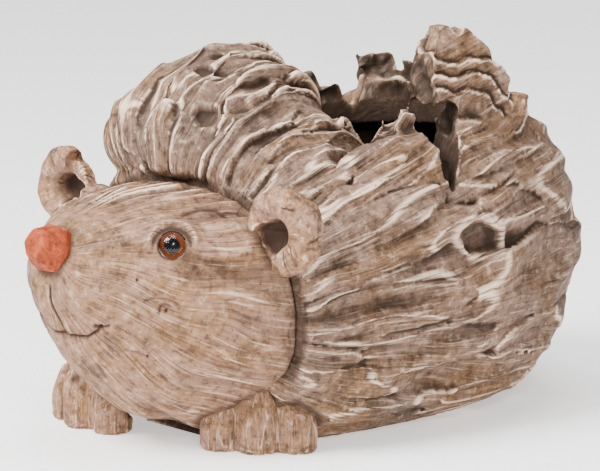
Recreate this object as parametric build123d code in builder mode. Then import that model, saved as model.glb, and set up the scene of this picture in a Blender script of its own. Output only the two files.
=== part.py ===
import os
from math import cos, radians, sin

from build123d import *

# A hedgehog planter of cast polyresin, sculpted as weathered driftwood.
# The animal faces -Y, its left flank is +X, and it stands on Z = 0.

# Fits shared by the castings
overrun = 40.0  # how far a cutting solid passes the face that it cuts
bore_overrun = 10.0  # the same for a small bore
bond_gap = 0.2  # adhesive line between two castings
peg_gap = 0.15  # radial room of a cast peg in its socket
peg_end_gap = 0.5  # room left under the end of a peg

# Pot casting: the quilled shell behind the face
seam_y = -53.0  # flat joint between the pot and the head
shoulder_height = 130.0  # top of the rounded shell, below the rim shards
flank_half_width = 90.0
tail_reach = 141.0  # from the origin back to the tail
front_reach = 99.0  # from the origin to the front of the shell's oval, before the seam cuts it
shell_fill_share = 0.66  # handle of each quarter of an oval, where 0.55 is an ellipse
shell_level_shares = (0, 0.1, 0.2, 0.33, 0.54, 0.78, 0.91, 1)  # of shoulder_height
shell_width_shares = (0.48, 0.76, 0.88, 0.955, 1, 0.955, 0.86, 0.69)  # of flank_half_width
shell_tail_shares = (0.75, 0.89, 0.94, 0.98, 1, 0.97, 0.91, 0.83)  # of tail_reach
shell_front_shares = (0.74, 0.85, 0.93, 0.98, 1, 0.7, 0.5, 0.32)  # of front_reach

# Planting hollow
shell_wall = 15.0
hollow_front_y = -14.0  # the hollow stops short of the thick front of the shell
floor_thickness = 14.0
neck_radius = 44.0
neck_y = 64.0  # the round mouth and the drain hole share this axis

# Hood: the crest of quills that rises over the head, higher towards the right ear
hood_height = 164.0
hood_half_width = 66.0
hood_depth = 74.0  # from the seam back to the mouth
hood_fill_share = 0.64
hood_level_shares = (0.6, 0.71, 0.79, 0.91, 0.965, 1)  # of hood_height
hood_width_shares = (0.91, 1.02, 0.86, 0.55, 0.34, 0.16)  # of hood_half_width
hood_shift_shares = (-0.09, -0.23, -0.33, -0.4, -0.4, -0.44)  # of hood_half_width, along X
hood_front_shares = (0.12, -0.05, -0.02, 0.15, 0.31, 0.42)  # of hood_depth, behind the seam
hood_back_shares = (1, 1, 1, 0.96, 0.89, 0.72)  # of hood_depth, behind the seam

# Quill flutes: long shallow gouges in rows that fan back over the shell, and a set over the hood
flute_radius = 20.0
flute_depth = 3.6
flute_half_length = 75.0
flute_fan_reach = 117.0  # the rows spread from a point this far ahead of the seam
flute_fan_share = 0.42  # of shoulder_height
flute_seam_shares = (0.22, 0.31, 0.4, 0.49, 0.58, 0.67, 0.78)  # of shoulder_height, where each row starts
flute_tail_shares = (0.08, 0.24, 0.4, 0.56, 0.71, 0.85, 0.96)  # of shoulder_height, where each row ends
flute_row_shares = (0.14, 0.38, 0.6, 0.76, 0.88)  # of the way along a row, every other one is cut
flute_station_shares = (-0.18, 0.16, 0.42, 0.42, 0.42)  # of tail_reach, where each is sighted from
flute_turns = (0, 0, 14, 40, 62)  # degrees that each is sighted towards the tail
hood_flute_radius = 14.0
hood_flute_depth = 3.0
hood_flute_level_share = 0.72  # of hood_height
hood_flute_shift_share = -0.26  # of hood_half_width
hood_flute_back_share = 0.4  # of hood_depth
hood_flute_turns = (24, 48, 72, 96, 120, 146, 36, 60, 84, 108, 132)  # degrees over the hood, from +X
hood_flute_lean_shares = (0.1, 0.1, 0.1, 0.1, 0.1, 0.1, 0.8, 0.8, 0.8, 0.8, 0.8)  # towards the face

# Rim shards round the mouth: broken splinter ends
shard_width = 30.0
shard_thickness = 17.0
shard_rise = 12.0  # above the shoulder
shard_root = 20.0  # depth that a shard is sunk into the shell
shard_stand = 0.5  # its inner face stands this far outside the neck
shard_tip_share = 0.55
shard_angles = (-66, -42, 42, 62, 82, 102, 122, 142, 186, 208)  # about the neck, from +X
shard_width_shares = (1, 0.8, 0.9, 0.8, 0.9, 0.8, 0.9, 0.9, 0.9, 0.9)
shard_rise_shares = (0.35, 0.6, 0.3, 0.4, 0.6, 0.7, 0.9, 1, 0.5, 0.3)
shard_lean_shares = (0.3, 0.3, 0.2, -0.2, 0.2, -0.1, 0.1, 0.2, 0.2, -0.3)  # of its width

# Rear stump: the tall broken branch on the left of the mouth
stump_height = 174.0
stump_width = 46.0
stump_thickness = 22.0
stump_angle = -7.0  # about the neck, from +X
stump_level_shares = (0.6, 0.86, 0.93, 1)  # of stump_height
stump_width_shares = (1, 0.9, 0.72, 0.28)
stump_thick_shares = (1, 0.9, 0.75, 0.5)
stump_shift_shares = (0, -0.1, -0.18, -0.26)  # of stump_width, along the rim

# Splits in the rim: a deep one in front of the stump and two shallow ones
split_angles = (-25, -56, 163)  # about the neck, from +X
split_depth = 26.0  # below the shoulder
split_depth_shares = (1, 0.5, 0.35)
split_half_width = 6.5  # at the shoulder
split_top_share = 1.4  # of its depth, from its foot to the top of the wedge that is cut

# Head casting
head_length = 76.0
head_side_share = 0.8  # of flank_half_width
head_height = 110.0
cheek_fill_share = 0.46  # lower half, tapering to the paws
brow_fill_share = 0.68  # upper half
head_length_shares = (0, 0.26, 0.52, 0.74, 0.9, 1)
head_width_shares = (1, 0.9, 0.725, 0.52, 0.35, 0.16)
head_chin_shares = (0.008, 0.07, 0.16, 0.315, 0.48, 0.62)  # of head_height
head_brow_shares = (1, 0.99, 0.97, 0.935, 0.885, 0.79)  # of head_height
spigot_half_width = 36.0  # oval spigot on the pot that locates the head
spigot_half_height = 28.0
spigot_depth = 8.0

# Nose
nose_radius = 11.6
nose_depth = 18.0
nose_sides = 6
nose_y = -121.0  # middle of its back face
nose_z = 87.5
nose_tilt = 22.0  # degrees that it looks up
nose_level_shares = (0, 0.45, 1)  # of nose_depth
nose_radius_shares = (0.8, 1, 0.56)
nose_fillet = 1.6
nose_peg_radius = 3.5
nose_peg_length = 9.0

# Ears: a thick roll curled round a shallow shell, on a peg in the front of the pot
ear_side_share = 0.778  # of flank_half_width, middle of the curl
ear_z = 99.0
ear_stand = 9.0  # middle of the curl in front of the seam
left_ear_turn = 18.0  # degrees that each ear looks outward
right_ear_turn = 4.0
ear_curl_radius = 12.0
ear_roll_radius = 7.4
ear_curl_start = -100.0  # degrees round the curl, from the outer side
ear_curl_sweep = 285.0
ear_roll_shares = (0.72, 1, 1, 0.82, 0.5)
ear_disc_thickness = 6.0
ear_peg_radius = 4.0
ear_peg_length = 8.0
ear_peg_share = 0.644  # of flank_half_width
ear_peg_z = 92.0
ear_root_radius = 9.0

# Eyes
eye_radius = 6.2
eye_root_y = -60.0  # where an eye's line of sight leaves the middle of the head
eye_root_z = 80.0
eye_turn = 48.0  # degrees that an eye looks outward
eye_lift = 14.0  # degrees that an eye looks up
eye_sink = 4.4  # socket depth
iris_thickness = 2.2
lens_height = 3.6
eye_gap = 0.15

# Front paws: three upright toes, glued by their backs into a recess under the cheek
toe_radius = 10.0
toe_height = 33.0
toe_middle = 14.0  # height of a toe's fullest point
toe_foot_share = 0.72  # of toe_radius, on the ground
toe_fill_share = 0.55
toe_spacing = 16.0
toe_set_shares = (-1, 0, 1)
toe_size_shares = (0.94, 1, 0.94)
toe_back = 3.0  # outer toes stand this far behind the middle one
paw_back = 7.0  # flat back of the paw behind the middle of its middle toe
paw_room = 3.0  # crease round the toes
paw_recess_fillet = 3.0
left_paw_share = 0.489  # of flank_half_width
left_paw_y = -53.0
left_paw_turn = 40.0  # degrees that a paw looks outward
right_paw_share = 0.456  # of flank_half_width
right_paw_y = -78.0
right_paw_turn = 6.0

# Drain plug
drain_radius = 7.0
plug_gap = 0.3
plug_flange_radius = 13.0
plug_flange_thickness = 3.0
plug_recess = 1.5  # its end stays above the surface that the planter stands on
plug_knob_radius = 5.0
plug_knob_height = 7.0
plug_fillet = 1.0


def oval(half_width, half_depth, low_fill, high_fill):
    for y, fill in ((half_depth, high_fill), (-half_depth, low_fill)):
        for x in (half_width, -half_width):
            Bezier((x, 0), (x, y * fill), (x * fill, y), (0, y))


def oval_stack(levels, fill):
    with BuildPart() as stack:
        for height, middle_x, half_width, front, back in levels:
            with BuildSketch(Plane((middle_x, (front + back) / 2, height))):
                with BuildLine():
                    oval(half_width, (back - front) / 2, fill, fill)
                make_face()
        loft()
    return stack.part


def share_at(level, level_shares, shares):
    for low, high, start, end in zip(level_shares, level_shares[1:], shares, shares[1:]):
        if level <= high:
            return start + (end - start) * (level - low) / (high - low)
    return shares[-1]


def shell_levels(heights, growth):
    levels = []
    for height in heights:
        level = height / shoulder_height
        half_width = flank_half_width * share_at(level, shell_level_shares, shell_width_shares)
        front = front_reach * share_at(level, shell_level_shares, shell_front_shares)
        tail = tail_reach * share_at(level, shell_level_shares, shell_tail_shares)
        levels.append((height, 0, half_width + growth, -front - growth, tail + growth))
    return levels


def shell_form(growth):
    heights = [share * shoulder_height for share in shell_level_shares]
    with BuildPart() as form:
        add(oval_stack(shell_levels(heights, growth), shell_fill_share))
        split(bisect_by=Plane.XZ.offset(-seam_y), keep=Keep.BOTTOM)
    return form.part


def hollow_form():
    roof = shoulder_height - shell_wall
    rings = [share * shoulder_height for share in shell_level_shares]
    heights = [floor_thickness]
    heights += [ring for ring in rings if floor_thickness < ring - shell_wall / 2 and ring < roof]
    heights.append(roof)
    with BuildPart() as form:
        add(oval_stack(shell_levels(heights, -shell_wall), shell_fill_share))
        split(bisect_by=Plane.XZ.offset(-hollow_front_y), keep=Keep.BOTTOM)
    return form.part


def hood_form():
    levels = []
    for level, width, shift, front, back in zip(
        hood_level_shares, hood_width_shares, hood_shift_shares, hood_front_shares, hood_back_shares
    ):
        levels.append(
            (
                level * hood_height,
                shift * hood_half_width,
                width * hood_half_width,
                seam_y + front * hood_depth,
                seam_y + back * hood_depth,
            )
        )
    with BuildPart() as hood:
        add(oval_stack(levels, hood_fill_share))
        add(head_form(bond_gap), mode=Mode.SUBTRACT)
    return hood.part


def flute(form, start, look, radius, depth):
    exits = form.find_intersection_points(Axis(start, look))
    point, normal = max(exits, key=lambda found: (found[0] - start).dot(look))
    fan = Vector(0, seam_y - flute_fan_reach, flute_fan_share * shoulder_height)
    spread = point - fan
    along = spread - normal * spread.dot(normal)
    middle = Plane(point + normal * (radius - depth), z_dir=along)
    with BuildPart() as gouge:
        with BuildSketch(middle.offset(-flute_half_length)):
            Circle(radius)
        extrude(amount=2 * flute_half_length)
    return gouge.part


def fluted_shell():
    shell = shell_form(0)
    gouges = []
    for row, (seam_share, tail_share) in enumerate(zip(flute_seam_shares, flute_tail_shares)):
        stations = zip(flute_row_shares, flute_station_shares, flute_turns)
        for place, (along, station, turn) in enumerate(stations):
            side = 1 if (row + place) % 2 else -1
            height = (seam_share + (tail_share - seam_share) * along) * shoulder_height
            start = Vector(0, station * tail_reach, height)
            look = Vector(side * cos(radians(turn)), sin(radians(turn)), 0)
            gouges.append(flute(shell, start, look, flute_radius, flute_depth))
    with BuildPart() as carved:
        add(shell)
        add(gouges, mode=Mode.SUBTRACT)
    return carved.part


def fluted_hood():
    hood = hood_form()
    start = Vector(
        hood_flute_shift_share * hood_half_width,
        seam_y + hood_flute_back_share * hood_depth,
        hood_flute_level_share * hood_height,
    )
    gouges = []
    for turn, lean in zip(hood_flute_turns, hood_flute_lean_shares):
        look = Vector(cos(radians(turn)), -lean, sin(radians(turn)))
        gouges.append(flute(hood, start, look, hood_flute_radius, hood_flute_depth))
    with BuildPart() as carved:
        add(hood)
        add(gouges, mode=Mode.SUBTRACT)
    return carved.part


def rim_plane(angle, radius, height):
    out = Vector(cos(radians(angle)), sin(radians(angle)), 0)
    return Plane(Vector(0, neck_y, height) + out * radius, x_dir=out, z_dir=(0, 0, 1))


def rim_shard(angle, width, rise, lean):
    middle = neck_radius + shard_thickness / 2 + shard_stand
    foot = rim_plane(angle, middle, shoulder_height - shard_root)
    tip = rim_plane(angle, middle, shoulder_height + rise)
    with BuildPart() as shard:
        with BuildSketch(foot):
            Rectangle(shard_thickness, width)
        with BuildSketch(Plane(tip.from_local_coords((0, lean, 0)), x_dir=tip.x_dir, z_dir=tip.z_dir)):
            Rectangle(shard_thickness * shard_tip_share, width * shard_tip_share)
        loft(ruled=True)
    return shard.part


def rear_stump():
    with BuildPart() as stump:
        for level, width, thick, shift in zip(
            stump_level_shares, stump_width_shares, stump_thick_shares, stump_shift_shares
        ):
            plane = rim_plane(stump_angle, neck_radius + stump_thickness / 2, level * stump_height)
            middle = plane.from_local_coords((0, shift * stump_width, 0))
            with BuildSketch(Plane(middle, x_dir=plane.x_dir, z_dir=plane.z_dir)):
                Rectangle(thick * stump_thickness, width * stump_width)
        loft(ruled=True)
    return stump.part


def head_form(growth):
    with BuildPart() as form:
        for length, width, chin, brow in zip(
            head_length_shares, head_width_shares, head_chin_shares, head_brow_shares
        ):
            middle = (chin + brow) / 2 * head_height
            half_height = (brow - chin) / 2 * head_height + growth
            place = Plane((0, seam_y - length * head_length, middle), x_dir=(1, 0, 0), z_dir=(0, -1, 0))
            half_width = width * head_side_share * flank_half_width + growth
            with BuildSketch(place):
                with BuildLine():
                    oval(half_width, half_height, cheek_fill_share, brow_fill_share)
                make_face()
        loft()
    return form.part


def paw_plane(side, middle_x, middle_y, turn):
    across = (cos(radians(turn)), side * sin(radians(turn)), 0)
    return Plane((side * middle_x, middle_y, 0), x_dir=across, z_dir=(0, 0, 1))


def upright_toe(middle, size):
    radius = size * toe_radius
    foot = toe_foot_share * radius
    top = size * toe_height
    with BuildPart() as toe:
        with BuildSketch(Plane(middle, x_dir=(1, 0, 0), z_dir=(0, -1, 0))):
            with BuildLine():
                Line((0, 0), (foot, 0))
                Bezier((foot, 0), (radius, 0), (radius, toe_fill_share * toe_middle), (radius, toe_middle))
                crown = toe_middle + toe_fill_share * (top - toe_middle)
                Bezier((radius, toe_middle), (radius, crown), (toe_fill_share * radius, top), (0, top))
                Line((0, top), (0, 0))
            make_face()
        revolve(axis=Axis(middle, (0, 0, 1)))
    return toe.part


def front_paw(place):
    back = Plane(place.from_local_coords((0, paw_back, 0)), x_dir=place.x_dir, z_dir=place.y_dir)
    with BuildPart() as paw:
        for share, size in zip(toe_set_shares, toe_size_shares):
            middle = place.from_local_coords((share * toe_spacing, abs(share) * toe_back, 0))
            add(upright_toe(middle, size))
        for casting in (head_form(bond_gap), shell_form(bond_gap)):
            behind = split(casting, bisect_by=back, keep=Keep.TOP, mode=Mode.PRIVATE)
            add(behind, mode=Mode.SUBTRACT)
    return paw


def paw_recess(place):
    half_width = toe_spacing + toe_radius + paw_room
    middle = place.from_local_coords((0, paw_back + bond_gap, 0))
    with BuildPart() as recess:
        with BuildSketch(Plane(middle, x_dir=place.x_dir, z_dir=place.z_dir).offset(-paw_room)):
            Rectangle(2 * half_width, overrun, align=(Align.CENTER, Align.MAX))
        extrude(amount=paw_room + toe_height + paw_room)
        fillet(recess.edges().filter_by(Axis.Z), paw_recess_fillet)
        fillet(recess.faces().sort_by(Axis.Z)[-1].edges(), paw_recess_fillet)
    return recess.part


def curled_ear(side, turn, peg_plane):
    look = Vector(side * sin(radians(turn)), -cos(radians(turn)), 0)
    outward = Vector(side * cos(radians(turn)), sin(radians(turn)), 0)
    middle = (side * ear_side_share * flank_half_width, seam_y - ear_stand, ear_z)
    place = Plane(middle, x_dir=outward, z_dir=look * side)
    with BuildPart() as ear:
        with BuildLine(place) as curl:
            CenterArc((0, 0), ear_curl_radius, side * ear_curl_start, side * ear_curl_sweep)
        for step, share in enumerate(ear_roll_shares):
            with BuildSketch(curl.line ^ (step / (len(ear_roll_shares) - 1))):
                Circle(share * ear_roll_radius)
        sweep(path=curl.line, multisection=True)
        with BuildSketch(place.offset(-side * ear_disc_thickness)):
            Circle(ear_curl_radius)
        extrude(amount=side * ear_disc_thickness)
        with BuildSketch(peg_plane):
            Circle(ear_root_radius)
        extrude(amount=-ear_stand)
        split(bisect_by=Plane.XZ.offset(-seam_y), keep=Keep.TOP)
        with BuildSketch(peg_plane):
            Circle(ear_peg_radius)
        extrude(amount=ear_peg_length)
        add(head_form(bond_gap), mode=Mode.SUBTRACT)
    return ear


os.makedirs("parts", exist_ok=True)

nose_look = Vector(0, -cos(radians(nose_tilt)), sin(radians(nose_tilt)))
nose_plane = Plane((0, nose_y, nose_z), x_dir=(1, 0, 0), z_dir=nose_look)
seam_middle = (head_chin_shares[0] + head_brow_shares[0]) / 2 * head_height
spigot_plane = Plane((0, seam_y, seam_middle), x_dir=(1, 0, 0), z_dir=(0, -1, 0))
ear_peg_x = ear_peg_share * flank_half_width
left_peg_plane = Plane((ear_peg_x, seam_y, ear_peg_z), x_dir=(1, 0, 0), z_dir=(0, 1, 0))
right_peg_plane = Plane((-ear_peg_x, seam_y, ear_peg_z), x_dir=(1, 0, 0), z_dir=(0, 1, 0))

left_paw_plane = paw_plane(1, left_paw_share * flank_half_width, left_paw_y, left_paw_turn)
right_paw_plane = paw_plane(-1, right_paw_share * flank_half_width, right_paw_y, right_paw_turn)
left_paw_recess = paw_recess(left_paw_plane)
right_paw_recess = paw_recess(right_paw_plane)

# Everything that is empty in the pot: hollow, mouth, rim splits, drain hole and peg sockets
with BuildPart() as pot_voids:
    add(hollow_form())
    with BuildSketch(Plane((0, neck_y, shoulder_height - shell_wall - bore_overrun))):
        Circle(neck_radius)
    extrude(amount=stump_height)
    for angle, share in zip(split_angles, split_depth_shares):
        foot = rim_plane(angle, 0, shoulder_height - share * split_depth)
        half_width = split_top_share * split_half_width
        rise = split_top_share * share * split_depth
        with BuildSketch(Plane(foot.origin, x_dir=foot.y_dir, z_dir=foot.x_dir)):
            with BuildLine():
                Polyline((0, 0), (half_width, rise), (-half_width, rise), close=True)
            make_face()
        extrude(amount=flank_half_width + overrun)
    with BuildSketch(Plane((0, neck_y, 0))):
        Circle(drain_radius)
    extrude(amount=floor_thickness)
    with BuildSketch(left_peg_plane, right_peg_plane):
        Circle(ear_peg_radius + peg_gap)
    extrude(amount=ear_peg_length + peg_end_gap)

# Pot casting
with BuildPart() as pot:
    rim_pieces = [fluted_hood(), rear_stump()]
    for angle, width, rise, lean in zip(
        shard_angles, shard_width_shares, shard_rise_shares, shard_lean_shares
    ):
        rim_pieces.append(rim_shard(angle, width * shard_width, rise * shard_rise, lean * shard_width))
    add(fluted_shell())
    add(rim_pieces)
    with BuildSketch(spigot_plane):
        Ellipse(spigot_half_width, spigot_half_height)
    extrude(amount=spigot_depth)
    add([pot_voids.part, left_paw_recess], mode=Mode.SUBTRACT)
pot.part.label = "pot_casting"
export_step(pot.part, "parts/pot_casting.step")

# Eye sockets are bored along each eye's line of sight, from where it leaves the face
eye_look = Vector(
    sin(radians(eye_turn)) * cos(radians(eye_lift)),
    -cos(radians(eye_turn)) * cos(radians(eye_lift)),
    sin(radians(eye_lift)),
)
face = head_form(0)
sight_line = Axis((0, eye_root_y, eye_root_z), eye_look)
sight_exits = face.find_intersection_points(sight_line)
eye_point = max((point for point, normal in sight_exits), key=lambda point: point.X)
left_eye_plane = Plane(eye_point, x_dir=(0, 0, 1), z_dir=eye_look)
right_eye_plane = Plane(
    (-eye_point.X, eye_point.Y, eye_point.Z), x_dir=(0, 0, 1), z_dir=(-eye_look.X, eye_look.Y, eye_look.Z)
)

# Head casting
with BuildPart() as head:
    add(face)
    with BuildSketch(spigot_plane):
        Ellipse(spigot_half_width + peg_gap, spigot_half_height + peg_gap)
    extrude(amount=spigot_depth + peg_end_gap, mode=Mode.SUBTRACT)
    with BuildSketch(nose_plane):
        Circle(nose_radius + bond_gap)
    extrude(amount=nose_depth, mode=Mode.SUBTRACT)
    with BuildSketch(nose_plane):
        Circle(nose_peg_radius + peg_gap)
    extrude(amount=-nose_peg_length - peg_end_gap, mode=Mode.SUBTRACT)
    with BuildSketch(left_eye_plane.offset(-eye_sink), right_eye_plane.offset(-eye_sink)):
        Circle(eye_radius + eye_gap)
    extrude(amount=eye_sink + bore_overrun, mode=Mode.SUBTRACT)
    add([left_paw_recess, right_paw_recess], mode=Mode.SUBTRACT)
head.part.label = "head_casting"
export_step(head.part, "parts/head_casting.step")

# Nose: a faceted nub on a cast peg
with BuildPart() as nose:
    for level, radius in zip(nose_level_shares, nose_radius_shares):
        with BuildSketch(nose_plane.offset(level * nose_depth)):
            RegularPolygon(radius * nose_radius, nose_sides)
    loft(ruled=True)
    fillet(nose.edges(), nose_fillet)
    with BuildSketch(nose_plane.offset(nose_fillet)):
        Circle(nose_peg_radius)
    extrude(amount=-nose_fillet - nose_peg_length)
nose.part.label = "nose"
export_step(nose.part, "parts/nose.step")

# Ears
ear_left = curled_ear(1, left_ear_turn, left_peg_plane)
ear_left.part.label = "ear_left"
export_step(ear_left.part, "parts/ear_left.step")

ear_right = curled_ear(-1, right_ear_turn, right_peg_plane)
ear_right.part.label = "ear_right"
export_step(ear_right.part, "parts/ear_right.step")

# Eyes: a painted disc in its socket under a clear dome
lens_ball = (eye_radius**2 + lens_height**2) / (2 * lens_height)
with BuildPart() as iris_left:
    with BuildSketch(left_eye_plane.offset(-eye_sink)):
        Circle(eye_radius)
    extrude(amount=iris_thickness)
iris_left.part.label = "eye_left_iris"
export_step(iris_left.part, "parts/eye_left_iris.step")

lens_seat = left_eye_plane.offset(iris_thickness - eye_sink)
with BuildPart() as lens_left:
    with BuildSketch(Plane(lens_seat.origin, x_dir=lens_seat.x_dir, z_dir=lens_seat.y_dir)):
        with BuildLine():
            Line((0, 0), (eye_radius, 0))
            RadiusArc((eye_radius, 0), (0, -lens_height), lens_ball)
            Line((0, -lens_height), (0, 0))
        make_face()
    revolve(axis=Axis(lens_seat.origin, lens_seat.z_dir))
lens_left.part.label = "eye_left_lens"
export_step(lens_left.part, "parts/eye_left_lens.step")

with BuildPart() as iris_right:
    mirror(iris_left.part, about=Plane.YZ)
iris_right.part.label = "eye_right_iris"
export_step(iris_right.part, "parts/eye_right_iris.step")

with BuildPart() as lens_right:
    mirror(lens_left.part, about=Plane.YZ)
lens_right.part.label = "eye_right_lens"
export_step(lens_right.part, "parts/eye_right_lens.step")

# Paws
paw_left = front_paw(left_paw_plane)
paw_left.part.label = "paw_left"
export_step(paw_left.part, "parts/paw_left.step")

paw_right = front_paw(right_paw_plane)
paw_right.part.label = "paw_right"
export_step(paw_right.part, "parts/paw_right.step")

# Drain plug: a rubber stopper that lifts out through the mouth
with BuildPart() as plug:
    with BuildSketch(Plane((0, neck_y, plug_recess))):
        Circle(drain_radius - plug_gap)
    extrude(amount=floor_thickness - plug_recess)
    with BuildSketch(Plane((0, neck_y, floor_thickness))):
        Circle(plug_flange_radius)
    extrude(amount=plug_flange_thickness)
    with BuildSketch(Plane((0, neck_y, floor_thickness + plug_flange_thickness))):
        Circle(plug_knob_radius)
    extrude(amount=plug_knob_height)
    fillet(plug.edges().group_by(Axis.Z)[-1], plug_fillet)
plug.part.label = "drain_plug"
export_step(plug.part, "parts/drain_plug.step")

print("OK")
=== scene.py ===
import math

import bpy
import numpy as np
from mathutils import Matrix, Vector
from mathutils.bvhtree import BVHTree


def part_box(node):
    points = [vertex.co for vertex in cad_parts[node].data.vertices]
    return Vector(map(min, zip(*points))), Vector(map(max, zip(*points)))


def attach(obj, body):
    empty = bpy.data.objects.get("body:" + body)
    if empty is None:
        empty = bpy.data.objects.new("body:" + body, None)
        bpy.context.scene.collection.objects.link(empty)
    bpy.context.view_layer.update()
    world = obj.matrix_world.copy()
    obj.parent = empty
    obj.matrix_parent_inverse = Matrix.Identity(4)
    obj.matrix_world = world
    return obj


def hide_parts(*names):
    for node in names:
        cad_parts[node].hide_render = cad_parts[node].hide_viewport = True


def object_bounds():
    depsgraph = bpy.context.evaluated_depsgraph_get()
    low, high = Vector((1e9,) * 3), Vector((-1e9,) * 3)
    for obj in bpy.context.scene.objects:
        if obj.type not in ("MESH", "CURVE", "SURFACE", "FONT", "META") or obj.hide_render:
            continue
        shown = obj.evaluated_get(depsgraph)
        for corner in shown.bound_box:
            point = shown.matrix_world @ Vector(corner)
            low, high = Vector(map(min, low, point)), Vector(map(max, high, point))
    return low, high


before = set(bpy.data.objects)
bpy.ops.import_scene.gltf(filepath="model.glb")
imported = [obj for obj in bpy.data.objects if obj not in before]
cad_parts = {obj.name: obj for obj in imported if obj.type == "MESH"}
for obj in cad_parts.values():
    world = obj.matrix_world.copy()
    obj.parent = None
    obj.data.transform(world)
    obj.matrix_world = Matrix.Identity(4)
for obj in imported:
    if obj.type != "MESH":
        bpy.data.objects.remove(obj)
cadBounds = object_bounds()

mm = 0.001  # settings are in millimetres, Blender works in metres

# the photograph's viewpoint, from the animal's left front
photoView = dict(
    width=600, height=471,            # pixels
    azimuth=49, elevation=11,         # degrees
    distance=2000, sensor=36,         # mm
    target=(0, -53, 97),              # a point between the ears
    targetPixel=(190, 211),
    pixelsPerMm=2.35,                 # at the target
)


def viewAxes():
    a, e = math.radians(photoView["azimuth"]), math.radians(photoView["elevation"])
    back = np.array((math.sin(a) * math.cos(e), -math.cos(a) * math.cos(e), math.sin(e)))
    right = np.array((math.cos(a), math.sin(a), 0.0))
    return right, np.cross(back, right), back


rightAxis, upAxis, backAxis = viewAxes()
focalPixels = photoView["distance"] * photoView["pixelsPerMm"]
middlePixel = (photoView["width"] / 2, photoView["height"] / 2)
aimRight = (middlePixel[0] - photoView["targetPixel"][0]) / photoView["pixelsPerMm"]
aimUp = (photoView["targetPixel"][1] - middlePixel[1]) / photoView["pixelsPerMm"]
cameraPlace = (np.array(photoView["target"]) + photoView["distance"] * backAxis
               + aimRight * rightAxis + aimUp * upAxis)


def seenAt(points):
    # photograph pixels of points given in mm
    away = points - cameraPlace
    depth = -(away @ backAxis)
    return (middlePixel[0] + focalPixels * (away @ rightAxis) / depth,
            middlePixel[1] - focalPixels * (away @ upAxis) / depth)


def addCamera():
    data = bpy.data.cameras.new("photoCamera")
    data.sensor_width = photoView["sensor"]
    data.lens = photoView["sensor"] * focalPixels / photoView["width"]
    data.clip_end = 20
    camera = bpy.data.objects.new("photoCamera", data)
    bpy.context.scene.collection.objects.link(camera)
    turn = Matrix((rightAxis, upAxis, backAxis)).transposed().to_4x4()
    camera.matrix_world = Matrix.Translation(Vector(cameraPlace * mm)) @ turn
    bpy.context.scene.camera = camera


addCamera()
print("camera placed")


def hexColour(code):
    parts = [int(code[i:i + 2], 16) / 255 for i in (1, 3, 5)]
    return [c / 12.92 if c <= 0.04045 else ((c + 0.055) / 1.055) ** 2.4 for c in parts] + [1]


def addNode(tree, kind, settings=(), values=(), links=()):
    node = tree.nodes.new(kind)
    for name, value in dict(settings).items():
        setattr(node, name, value)
    for socket, value in dict(values).items():
        node.inputs[socket].default_value = value
    for socket, source in dict(links).items():
        tree.links.new(source, node.inputs[socket])
    return node


def pickOnly(piece):
    bpy.ops.object.select_all(action="DESELECT")
    piece.select_set(True)
    bpy.context.view_layer.objects.active = piece


def ramp(low, high, value):
    t = np.clip((value - low) / (high - low), 0, 1)
    return t * t * (3 - 2 * t)


def lattice(points, seed):
    # smooth seeded noise, about -0.7 to 0.7, one cell per unit
    draw = np.random.default_rng(seed)
    order = draw.permutation(256)
    slopes = draw.normal(size=(256, 3)).astype(np.float32)
    slopes /= np.linalg.norm(slopes, axis=1)[:, None]
    cell = np.floor(points).astype(np.int64)
    f = (points - cell).astype(np.float32)
    u = f * f * f * (f * (f * 6 - 15) + 10)
    total = np.zeros(len(points), np.float32)
    for dx in (0, 1):
        ix = order[(cell[:, 0] + dx) & 255]
        wx = u[:, 0] if dx else 1 - u[:, 0]
        for dy in (0, 1):
            iy = order[(ix + cell[:, 1] + dy) & 255]
            wy = wx * (u[:, 1] if dy else 1 - u[:, 1])
            for dz in (0, 1):
                slope = slopes[order[(iy + cell[:, 2] + dz) & 255]]
                dot = ((f[:, 0] - dx) * slope[:, 0] + (f[:, 1] - dy) * slope[:, 1]
                       + (f[:, 2] - dz) * slope[:, 2])
                total += dot * wy * (u[:, 2] if dz else 1 - u[:, 2])
    return total


def gouged(points, cells, seed, reach=0.4, rounding=0.1):
    # concave gouges: 1 on the crests between them and 0 in the hollows, then how far off a crest
    n = lattice(points / np.array(cells), seed)
    depth = (np.sqrt(n * n + rounding ** 2) - rounding) / reach
    return np.clip(1 - depth ** 0.9, 0, 1), np.abs(n)


def overlapping(points, cells, seed, tilt=0.3, cup=0.14, slope=0.3):
    # long lens-shaped plates, each at its own height, the highest one showing
    draw = np.random.default_rng(seed)
    order = draw.permutation(256)
    chance = draw.random((256, 4)).astype(np.float32)
    c = points / np.array(cells)
    base = np.floor(c).astype(np.int64)
    best = np.full(len(c), -0.6, np.float32)
    owner = np.zeros(len(c), np.float32)
    for dx in (-1, 0, 1):
        for dy in (-1, 0, 1):
            for dz in (-1, 0, 1):
                cell = base + (dx, dy, dz)
                mix = order[(order[(order[cell[:, 0] & 255] + cell[:, 1]) & 255] + cell[:, 2]) & 255]
                luck = chance[mix]
                away = c - cell - 0.1 - 0.8 * luck[:, :3]
                room = 1 - (away[:, 2] / 1.1) ** 2
                spread = (away[:, 0] ** 2 + away[:, 1] ** 2) / 0.56
                covers = (room > 0) & (spread < room)
                stand = luck[:, 3] + tilt * away[:, 2] + cup * np.minimum(1, spread / np.maximum(room, 0.05))
                stand = -0.6 + (stand + 0.6) * ramp(0, slope, room - spread)
                higher = covers & (stand > best)
                best[higher] = stand[higher]
                owner[higher] = mix[higher]
    return best, owner / 255


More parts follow.
